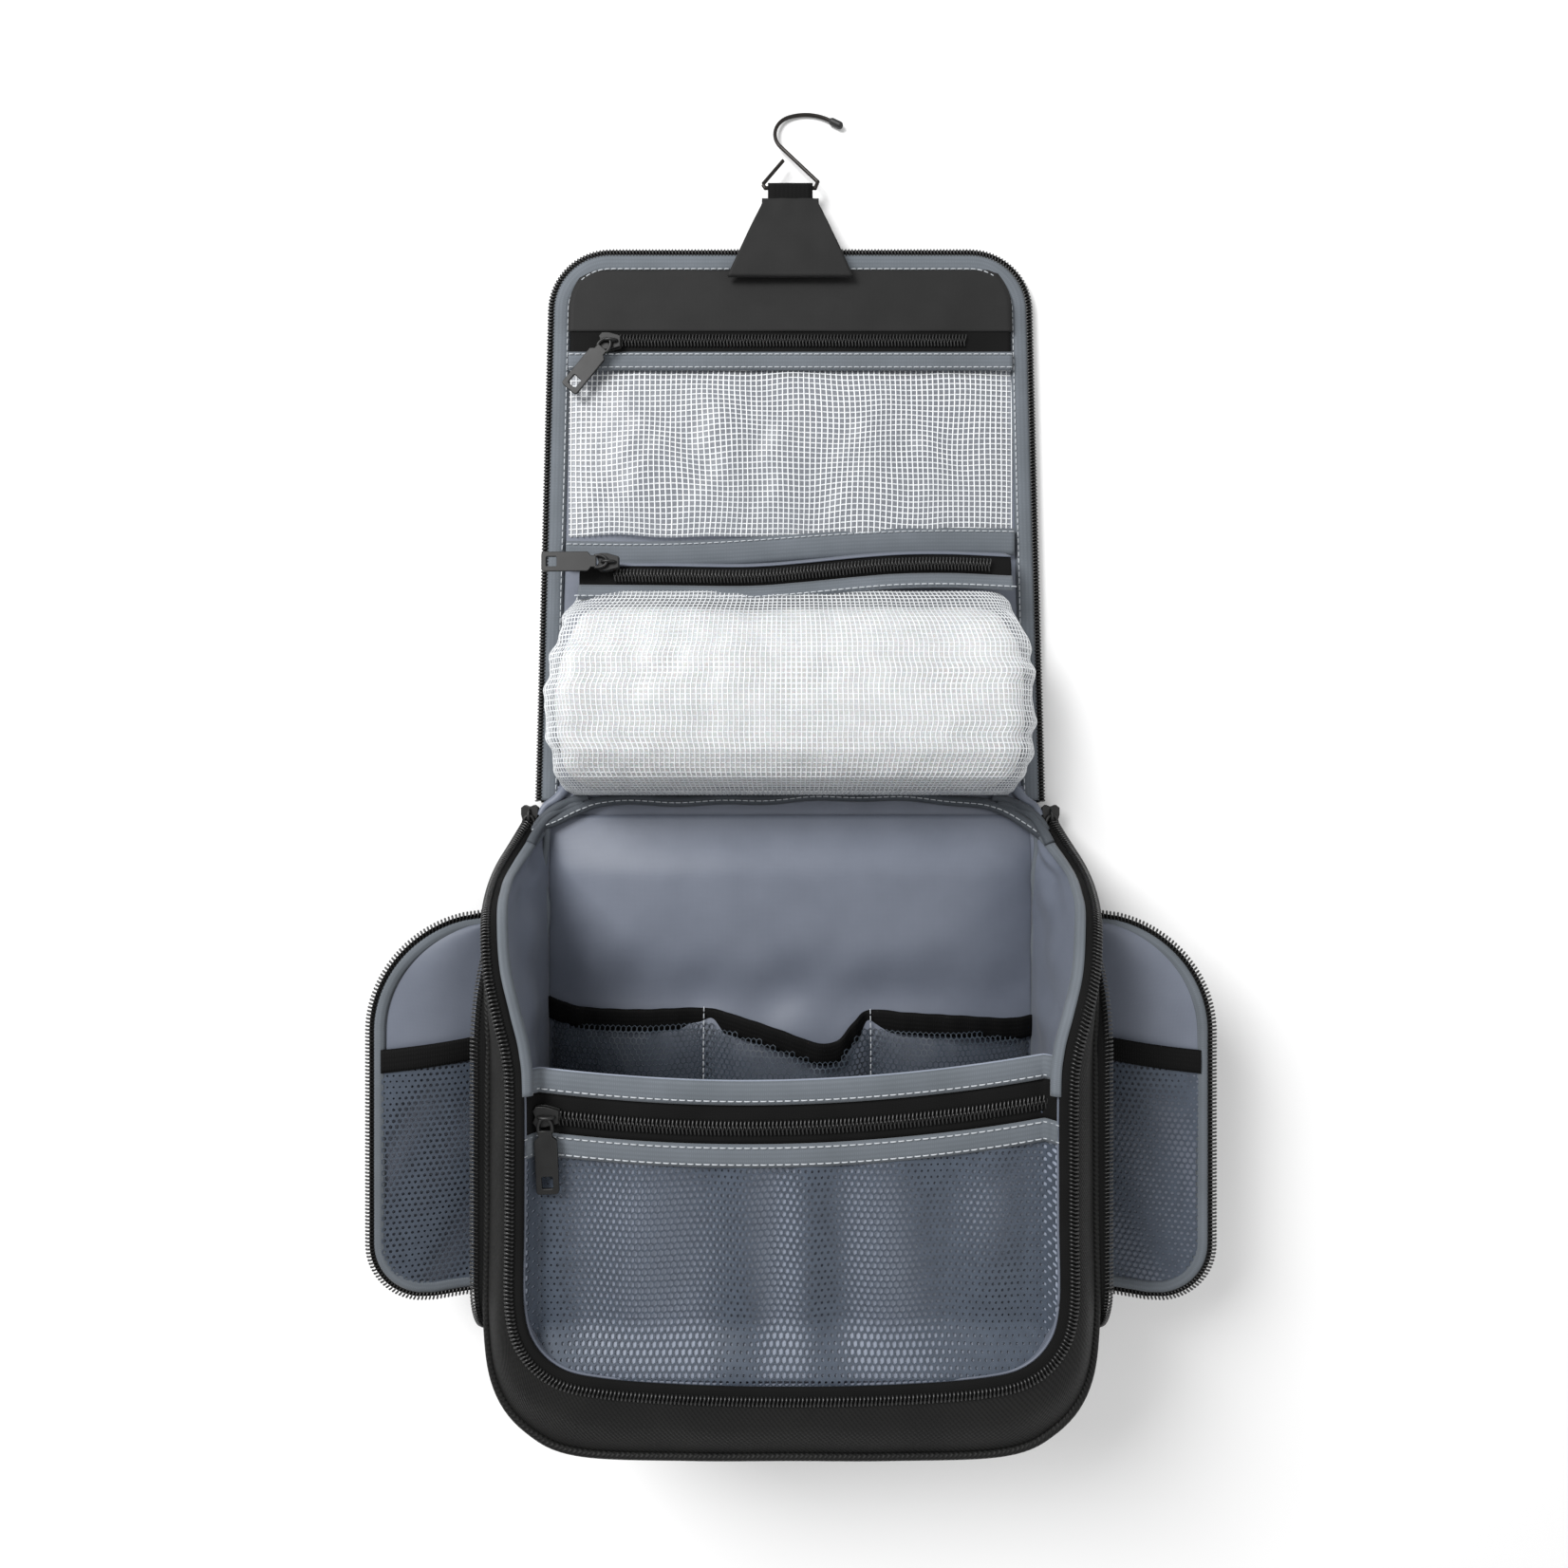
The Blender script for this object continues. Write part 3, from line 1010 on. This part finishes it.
def tissueFilling():
    # a crumpled sheet that fills the pouch: a rough block, blown up as cloth, then creased
    a, v = np.meshgrid(np.linspace(-0.9, 0.9, 60), np.linspace(0.04, 0.97, 34), indexing="ij")
    x, y, z = pouchSurface(a, v)
    x, y, z = x * 0.975, 134 + (y - 131) * 0.93, 5 + (z - 5) * 0.93
    top = np.stack([x, y, np.maximum(z, 6.5)], axis=-1).reshape(-1, 3)
    low = top.copy()
    low[:, 2] = 5.2
    faces = list(map(tuple, gridFaces(60, 34)))
    under = [tuple(i + len(top) for i in reversed(f)) for f in faces]
    rim = [i * 34 for i in range(60)] + [59 * 34 + j for j in range(1, 34)]
    rim += [i * 34 + 33 for i in range(58, -1, -1)] + [j for j in range(32, 0, -1)]
    walls = [(rim[k], rim[(k + 1) % len(rim)], rim[(k + 1) % len(rim)] + len(top), rim[k] + len(top))
             for k in range(len(rim))]
    piece = makeMesh("PouchTissue", np.vstack([top, low]), faces + under + walls, tissue)
    remesh = piece.modifiers.new("Voxels", "REMESH")
    remesh.mode = "VOXEL"
    remesh.voxel_size = fillSpec["voxel"] * mm
    bpy.context.view_layer.objects.active = piece
    bpy.ops.object.select_all(action="DESELECT")
    piece.select_set(True)
    bpy.ops.object.modifier_apply(modifier=remesh.name)
    rest = np.array([v.co for v in piece.data.vertices])
    cloth = piece.modifiers.new("Cloth", "CLOTH")
    cloth.settings.use_pressure = True
    cloth.settings.uniform_pressure_force = fillSpec["pressure"]
    cloth.settings.effector_weights.gravity = 0
    for step in range(1, 21):
        scene.frame_set(step)
    shown = piece.evaluated_get(bpy.context.evaluated_depsgraph_get())
    moved = np.array([v.co for v in shown.data.vertices])
    piece.modifiers.remove(cloth)
    scene.frame_set(1)
    shift = moved - rest
    far = np.linalg.norm(shift, axis=1, keepdims=True)
    shift *= np.minimum(1, fillSpec["cap"] * mm / np.maximum(far, 1e-9)) * 0.35
    p = (rest + shift) / mm
    p[:, 2] += ((1.6 * ripple(p[:, 0], p[:, 1] * 0.6, 34, 81) + 0.9 * ripple(p[:, 0], p[:, 1], 15, 82))
                * ease(p[:, 2], 12, 30))
    p[:, 2] = np.clip(p[:, 2], 5.0, 50)
    piece.data.vertices.foreach_set("co", (p * mm).ravel())
    smoother = piece.modifiers.new("Smooth", "SUBSURF")
    smoother.levels = smoother.render_levels = 1
    return piece


filling = tissueFilling()
finishPiece(filling, "lid_lower", "tissue", "pouch_filling")
for piece in (pouchSheet, pouchScrim, filling):
    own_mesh(piece)

pouchNodes = [(-98, 235.5, 25), (-60, 235.2, 25), (-20, 234.8, 25.5), (5, 236.5, 25.5), (30, 239, 25),
              (50, 240.6, 24.5), (75, 241, 24), (103, 240, 23)]
pouchLine = curveThrough(pouchNodes, 160)
yWay = np.array([0, 1.0, 0])
pouchTape = ribbon("PouchZipTape", pouchLine - yWay * 5.6 - up * 0.8, np.tile(yWay * 11.2 - up * 2, (160, 1)),
                   zipTape, 0.7, 0.8, up=up, cols=6)
finishPiece(pouchTape, "lid_lower", "zip", "pouch_zip")
inner = (pouchLine[:, 0] > -83) & (pouchLine[:, 0] < 92)
finishPiece(closedChain("PouchZipCoil", pouchLine[inner] + up * 0.6, up, yWay), "lid_lower", "zip")
bandLow = np.stack([pouchLine[:, 0], pouchLine[:, 1] - 11.5, pouchLine[:, 2] + 3.6], axis=1)
pouchBand = ribbon("PouchBand", bandLow, pouchLine - yWay * 4.4 - bandLow + up * 0.3, bindingTape, 0.9, 0.8,
                   up=up, cols=6)
finishPiece(pouchBand, "lid_lower", "grey_binding")
finishPiece(stitches("PouchStitch", bandLow + yWay * 1.6 + up * 1.2, up), "lid_lower", "grey_binding")


def slopeBehind(x, v):
    # the lining's strip that rises from the lid to the zip
    top = np.stack([np.interp(x, pouchLine[:, 0], pouchLine[:, k]) for k in range(3)], axis=-1)
    y = top[..., 1] + 5 + v * 5.5
    z = (top[..., 2] - 1.6) * (1 - v) ** 1.3 + 4.6 * (1 - (1 - v) ** 1.3)
    return x, y, z + 0.5 * ripple(x, y, 24, 91)


riser = sheetPiece("PouchRiser", slopeBehind, np.linspace(-103, 103, 90), np.linspace(0, 1, 14),
                   liningCloth, 0.8)
finishPiece(riser, "lid_lower", "lining")
print("pouch done")


# ---- side pockets ----

wing = {"foldX": 128.2, "foldZ": 37, "wide": 59, "top": 82, "tall": 170, "topR": 50, "lowR": 28, "rise": 18.5}
wingLow = wing["top"] - wing["tall"]


def wingWide(y, inset=0.0):
    high = np.clip(y - (wing["top"] - wing["topR"]), 0, wing["topR"] - inset)
    low = np.clip(wingLow + wing["lowR"] - y, 0, wing["lowR"] - inset)
    return (wing["wide"] - inset - (wing["topR"] - inset
                                    - np.sqrt(np.maximum((wing["topR"] - inset) ** 2 - high ** 2, 0)))
            - (wing["lowR"] - inset - np.sqrt(np.maximum((wing["lowR"] - inset) ** 2 - low ** 2, 0))))


def onWing(side, x, y, z):
    # from a door's own plane to its open place
    a = math.radians(wing["rise"])
    return (side * (wing["foldX"] + x * math.cos(a) - z * math.sin(a)), y,
            wing["foldZ"] + x * math.sin(a) + z * math.cos(a))


doorTape = {"outer": 0.8, "inner": 4.6, "bindingIn": 7.5, "bindingWide": 4.6}  # insets from a door's rim


def wingEdge(inset):
    y = np.concatenate([np.full(6, wing["top"] - inset),
                        np.linspace(wing["top"] - inset, wingLow + inset, 160),
                        np.full(10, wingLow + inset)])
    mid = y[6:-10]
    x = wingWide(mid, inset)
    return evenly(np.stack([np.concatenate([np.linspace(0, x[0], 7)[:-1], x, np.linspace(x[-1], 0, 11)[1:]]),
                            y, 0 * y], axis=1), 1.2)[0]


def doorFolds(x, y):
    # soft slanting folds
    return (ripple(x * 0.9 + y * 0.55, y * 0.35 - x * 0.2, 30, 102)
            * np.sin(math.pi * np.clip(x / 52, 0, 1)) ** 0.7)


def doorGather(x, y):
    band = 0.5 + 0.5 * ripple(x * 1.1 + y * 0.6, y * 0.25, 26, 105, 4)
    return np.clip(1.5 * band ** 2 - 0.15 + 0.5 * ease(y, -5, 12), 0, 1)


def dish(x, y):
    # the door is slightly hollow
    return 1.6 * (x / wing["wide"]) ** 2 + 0.5 * ripple(x, y, 40, 101)


for side, sideName in ((-1, "Left"), (1, "Right")):
    low = sideName.lower()
    body = "wing_" + low

    def place(points, side=side):
        x, y, z = points.T
        return np.stack(onWing(side, x, y, z + dish(x, y)), axis=1)

    ys = np.linspace(wingLow + 0.4, wing["top"] - 0.4, 90)
    shell = sheetPiece("DoorShell" + sideName, lambda u, y: onWing(
        side, u * wingWide(y, 1.2), y, -0.6 + dish(u * wingWide(y, 1.2), y)), np.linspace(0, 1, 40), ys,
                       nylonCloth, 1.0)
    finishPiece(shell, body, "nylon", "wing_shell_" + low)
    ys = np.linspace(wingLow + 4.5, wing["top"] - 4.5, 90)
    lining = sheetPiece("DoorLining" + sideName, lambda u, y: onWing(
        side, u * wingWide(y, 5), y, 0.6 + 2.8 * np.sin(math.pi * u) * ease(y, -85, -20)
        + 1.0 * doorFolds(u * 50, y) + dish(u * wingWide(y, 5), y)), np.linspace(0, 1, 40), ys, liningCloth,
                        0.7)
    finishPiece(lining, body, "lining", "wing_lining_" + low)
    rim = wingEdge(0)
    rimOut = outward(rim)
    lift = np.array([0, 0, 0.6])
    tapePath, tapeInner = (place(rim - rimOut * doorTape[key] + lift) for key in ("outer", "inner"))
    normal = np.array([-side * math.sin(math.radians(wing["rise"])), 0, math.cos(math.radians(wing["rise"]))])
    finishPiece(ribbon("DoorTape" + sideName, tapeInner, tapePath - tapeInner, zipTape, 0.6, 0, up=normal),
                body,
                "zip", "wing_zip_" + low)
    finishPiece(coilRow("DoorCoil" + sideName, tapePath, normal, tapePath - tapeInner), body, "zip")
    bindEdge = wingEdge(doorTape["bindingIn"])
    bindInner = place(bindEdge + lift * 1.6)
    bindOuter = place(bindEdge + lift * 1.6 + outward(bindEdge) * doorTape["bindingWide"])
    binding = ribbon("DoorBinding" + sideName, bindInner, bindOuter - bindInner, bindingTape, 0.9, 0.8,
                     up=normal)
    finishPiece(binding, body, "grey_binding")

    def meshLift(x, y):
        u = np.clip(x / np.maximum(wingWide(y, 6), 1), 0, 1)
        open_ = ease(y, -86, 18)
        return (1.5 + 2.8 * np.sin(math.pi * u) * ease(y, -85, -20) + 1.2 * open_ ** 3 * np.sin(math.pi * u)
                + 1.0 * doorFolds(x, y) + 0.3)

    def doorNet(u, v, side=side):
        return onWing(side, u, v, meshLift(u, v) + dish(u, v))

    doorMesh = netPiece("DoorMesh" + sideName, doorNet, 1, 56, wingLow + 5, 16, meshYarn,
                        inside=lambda u, v: 1 < u < wingWide(np.float64(v), 6) and v > wingLow + 6,
                        gather=doorGather)
    finishPiece(doorMesh, body, "mesh", "wing_mesh_" + low)
    xs = np.linspace(0.5, wingWide(np.float64(18.0), 5.5), 50)
    slant = 14 + 5.0 * (1 - xs / 55)
    topLine = np.stack(onWing(side, xs, slant + 9.5, meshLift(xs, slant) + 0.6 + dish(xs, slant)), axis=1)
    lowLine = np.stack(onWing(side, xs, slant - 0.5, meshLift(xs, slant) + 0.6 + dish(xs, slant)), axis=1)
    finishPiece(ribbon("DoorElastic" + sideName, lowLine, topLine - lowLine, elasticKnit, 1.0, 0.5,
                       up=normal, cols=6),
                body, "elastic", "wing_elastic_" + low)

    # the pocket's gusset on the bag, with the other half of the zip
    ring = wingEdge(1.5)
    height = wing["foldZ"] + ring[:, 0]
    leftSeam = seamLine[:fine // 3]
    share = height / np.interp(-ring[:, 1], -leftSeam[:, 1], leftSeam[:, 2])
    wallX = 120.4 + 2.0 * np.sin(math.pi * np.clip(share, 0, 1)) + 0.6 * np.clip(share, 0, 1)
    onWall = np.stack([side * wallX, ring[:, 1], height], axis=1)
    keep = ring[:, 0] > 3
    onWall = onWall[keep]
    outX = np.stack([side * (126.6 - wallX[keep]), 0 * wallX[keep], 0 * wallX[keep]], axis=1)
    gusset = ribbon("SideGusset" + sideName, onWall, outX, zipTape, 1.0, 0)
    finishPiece(gusset, "compartment", "zip", "side_zip_" + low)
    ringOut = outward(ring)[keep]
    towards = np.stack([0 * ringOut[:, 0], ringOut[:, 1], ringOut[:, 0]], axis=1)
    finishPiece(coilRow("SideCoil" + sideName, onWall + outX, towards, outX), "compartment", "zip")
    crease = sheetPiece("DoorFold" + sideName, lambda t, y: (
        side * (119.5 + t * (wing["foldX"] + 3 - 119.5)), y,
                                            wing["foldZ"] - 1.5 + 0.8 * t + 0.5 * ripple(t * 8, y, 20, 104)),
                        np.linspace(0, 1, 10), np.linspace(wingLow + 3, wing["top"] - 3, 60), liningCloth,
                        0.8)
    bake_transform(crease)
print("side pockets done")


# ---- sliders, pulls, tab and hook ----

sliderSpec = {"length": 9.5, "wide": 7.6, "plate": 1.1, "gapHigh": 1.5}
pullSpec = {"length": 29, "wide": 8.4, "thick": 1.5, "window": 5.4, "root": 4.2, "neck": 2.4}


def plateMesh(name, outline, holes, thickness, bevel, material):
    # a flat plate with holes and soft edges, from 2D outlines in mm
    curve = bpy.data.curves.new(name, "CURVE")
    curve.dimensions = "2D"
    curve.fill_mode = "BOTH"
    curve.extrude = (thickness / 2 - bevel) * mm
    curve.bevel_depth = bevel * mm
    curve.bevel_resolution = 2
    for line in (outline, *holes):
        spline = curve.splines.new("POLY")
        spline.points.add(len(line) - 1)
        for point, (px, py) in zip(spline.points, line):
            point.co = (px * mm, py * mm, 0, 1)
        spline.use_cyclic_u = True
    holder = bpy.data.objects.new(name, curve)
    mesh = bpy.data.meshes.new_from_object(holder)
    bpy.data.objects.remove(holder)
    mesh.materials.clear()
    mesh.materials.append(material)
    piece = bpy.data.objects.new(name, mesh)
    scene.collection.objects.link(piece)
    return piece


def roundedOutline(x0, x1, y0, y1, radius):
    line = []
    for cx, cy, start in ((x1 - radius, y1 - radius, 0), (x0 + radius, y1 - radius, 90),
                          (x0 + radius, y0 + radius, 180), (x1 - radius, y0 + radius, 270)):
        line += [(cx + radius * math.cos(math.radians(start + a)),
                  cy + radius * math.sin(math.radians(start + a)))
                 for a in range(0, 91, 15)]
    return line


def buildSlider(name, matrix):
    # two plates joined by a wedge, with a bridge for the pull; its length is along X
    s = sliderSpec
    l, w = s["length"] / 2, s["wide"] / 2
    outline = [(-l, -w * 0.62), (-l * 0.5, -w * 0.8), (l * 0.1, -w), (l * 0.75, -w), (l, -w * 0.6),
               (l * 0.8, 0),
               (l, w * 0.6), (l * 0.75, w), (l * 0.1, w), (-l * 0.5, w * 0.8), (-l, w * 0.62)]
    parts = []
    for z in (0.55, 0.55 + s["gapHigh"] + s["plate"]):
        plate = plateMesh(name + "Plate", outline, (), s["plate"], 0.28, paintedZinc)
        plate.data.transform(Matrix.Translation((0, 0, z * mm)))
        parts.append(plate)
    wedge = plateMesh(name + "Wedge", roundedOutline(l * 0.2, l * 0.85, -1.3, 1.3, 0.6), (),
                      s["gapHigh"] + 1, 0.1, paintedZinc)
    wedge.data.transform(Matrix.Translation((0, 0, 1.85 * mm)))
    parts.append(wedge)
    loop = curveThrough([(-3.4, 0, 3.0), (-3.3, 0, 4.3), (-1.8, 0, 5.4), (0.6, 0, 5.4), (2.4, 0, 4.5),
                         (2.9, 0, 3.0)], 24)
    parts.append(tubePiece(name + "Bridge", loop, 0.75, paintedZinc, 8, up=np.array([0, 1.0, 0])))
    piece = joinPieces(name, parts)
    piece.data.transform(matrix)
    return piece


def buildPull(name, matrix):
    # a flat tongue with a window in its far end, a neck and a ring at its root; it points along -X
    p = pullSpec
    root, wide = -p["root"], p["wide"] / 2
    far, shoulder = -p["length"], root - 3.2
    outline = [(root, p["neck"]), (shoulder + 0.8, p["neck"]), (shoulder, wide - 0.7), (shoulder - 0.7, wide),
               (far + 1.0, wide), (far + 0.3, wide - 0.3), (far, wide - 1.0), (far, -wide + 1.0),
               (far + 0.3, -wide + 0.3), (far + 1.0, -wide), (shoulder - 0.7, -wide), (shoulder, -wide + 0.7),
               (shoulder + 0.8, -p["neck"]), (root, -p["neck"])]
    tongue = plateMesh(name + "Tongue", outline,
                       (roundedOutline(-p["length"] + 1.7, -p["length"] + 1.7 + p["window"], -2.5, 2.5,
                                       0.9),),
                       p["thick"], 0.3, paintedZinc)
    ring = curveThrough([(-4.8, -2.6, 0), (-2.2, -2.7, 0.1), (0.2, -1.6, 0.2), (0.9, 0, 0.2), (0.2, 1.6, 0.2),
                         (-2.2, 2.7, 0.1), (-4.8, 2.6, 0)], 28)
    hoop = tubePiece(name + "Hoop", ring, 0.75, paintedZinc, 8)
    piece = joinPieces(name, [tongue, hoop])
    piece.data.transform(matrix)
    return piece


def turned(x, y, z, angle=0.0, tilt=0.0, axis="Y"):
    return (Matrix.Translation(Vector((x, y, z)) * mm) @ Matrix.Rotation(math.radians(angle), 4, "Z")
            @ Matrix.Rotation(math.radians(tilt), 4, axis))


def centre(node):
    low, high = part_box(node)
    return [(a + b) / 2 / mm for a, b in zip(low, high)]


for kind, body, pullAngle, tilt in (("front", "front_slider", 92, -3), ("clear", "clear_slider", 50, -2),
                                    ("pouch", "pouch_slider", 0, -2)):
    cx, cy, _ = centre(kind + "_slider")
    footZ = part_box(kind + "_slider")[0][2] / mm
    slider = buildSlider(kind.capitalize() + "Slider", turned(cx, cy, footZ + 0.2, 180))
    finishPiece(slider, body, "zip_metal", kind + "_slider")
    pull = buildPull(kind.capitalize() + "Pull", turned(cx - 1.0 * math.cos(math.radians(pullAngle)),
                                                        cy - 1.0 * math.sin(math.radians(pullAngle)),
                                                        footZ + 5.0, pullAngle, tilt))
    finishPiece(pull, kind + "_pull", "zip_metal", kind + "_pull")

mainX, sideRest = 124.5, (121.3, -93, 40)  # where the lid's and the side zips' sliders lie
mainParts, sideParts = [], []
for side, sideName in ((-1, "left"), (1, "right")):
    mainParts.append(buildSlider("MainSlider" + sideName, turned(side * mainX, 124, 7.0, 90)))
    pull = buildPull("MainPull" + sideName.capitalize(), turned(side * mainX, 123, 11.7, 90, 0))
    finishPiece(pull, "main_pull_" + sideName, "zip_metal", "main_pull_" + sideName)
    sideTurn = turned(side * sideRest[0], sideRest[1], sideRest[2], 0 if side > 0 else 180, 90)
    sideParts.append(buildSlider("SideSlider" + sideName, sideTurn))
    pull = buildPull("SidePull" + sideName.capitalize(), sideTurn @ Matrix.Translation((0, 0, 4.5 * mm))
                     @ Matrix.Rotation(math.pi, 4, "Z"))
    finishPiece(pull, "side_pull_" + sideName, "zip_metal", "side_pull_" + sideName)
finishPiece(joinPieces("MainSliders", mainParts), "compartment", "zip_metal", "main_sliders")
finishPiece(joinPieces("SideSliders", sideParts), "compartment", "zip_metal", "side_sliders")

tab = {"wideLow": 30, "wideTop": 13.6, "low": 381.5, "high": 418}


def tabSurface(u, v):
    half = tab["wideLow"] + (tab["wideTop"] - tab["wideLow"]) * np.clip(v * 1.08, 0, 1)
    y = tab["low"] + (tab["high"] - tab["low"]) * v
    z = 9.0 + 1.2 * np.sin(math.pi * v) + 0.25 * ripple(u * 30, y, 20, 111)
    return u * half, y, z


tabPiece = sheetPiece("HangingTab", tabSurface, np.linspace(-1, 1, 41), np.linspace(0, 1, 31), nylonCloth,
                      2.2)
finishPiece(tabPiece, "tab", "nylon", "hook_tab")
edgeLine = np.concatenate([np.stack(tabSurface(np.full(30, -0.9), np.linspace(0.05, 0.93, 30)), axis=1),
                           np.stack(tabSurface(np.linspace(-0.85, 0.85, 14), np.full(14, 0.93)), axis=1),
                           np.stack(tabSurface(np.full(30, 0.9), np.linspace(0.93, 0.05, 30)), axis=1)])
finishPiece(stitches("TabStitch", edgeLine, up, blackThread), "tab", "nylon")
barY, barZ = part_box("hook_loop")[1][1] / mm - 2.25, 8.6
around = np.radians(np.linspace(-90, 90, 17))
reach = 7.6  # from the bar's axis to the loop's end, inside the tab
bend, webWide = 1.75, 21.4  # the loop's radius round the bar and its width
section = ([(barY - reach + i * reach / 6, barZ - bend) for i in range(6)]
           + [(barY + bend * math.cos(a), barZ + bend * math.sin(a)) for a in around]
           + [(barY - (i + 1) * reach / 6, barZ + bend) for i in range(6)])
loopPath = np.array([(-webWide / 2, y, z) for y, z in section])
webbing = ribbon("HookLoop", loopPath, np.tile([webWide, 0, 0], (len(loopPath), 1)), elasticKnit, 0.9, 0,
                 cols=9)
finishPiece(webbing, "tab", "elastic", "hook_loop")
for node, material in (("hook_wire", steelWire), ("hook_tip", tipPlastic)):
    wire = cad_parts[node]
    wire.data.materials.clear()
    wire.data.materials.append(material)
print("sliders, tab and hook done")


# ---- floor ----

floorHalf = 1500
corners = [(x * floorHalf, y * floorHalf, 0) for x, y in ((-1, -1), (1, -1), (1, 1), (-1, 1))]
floor = makeMesh("Floor", corners, [(0, 1, 2, 3)], floorPaint)

print("scene done")
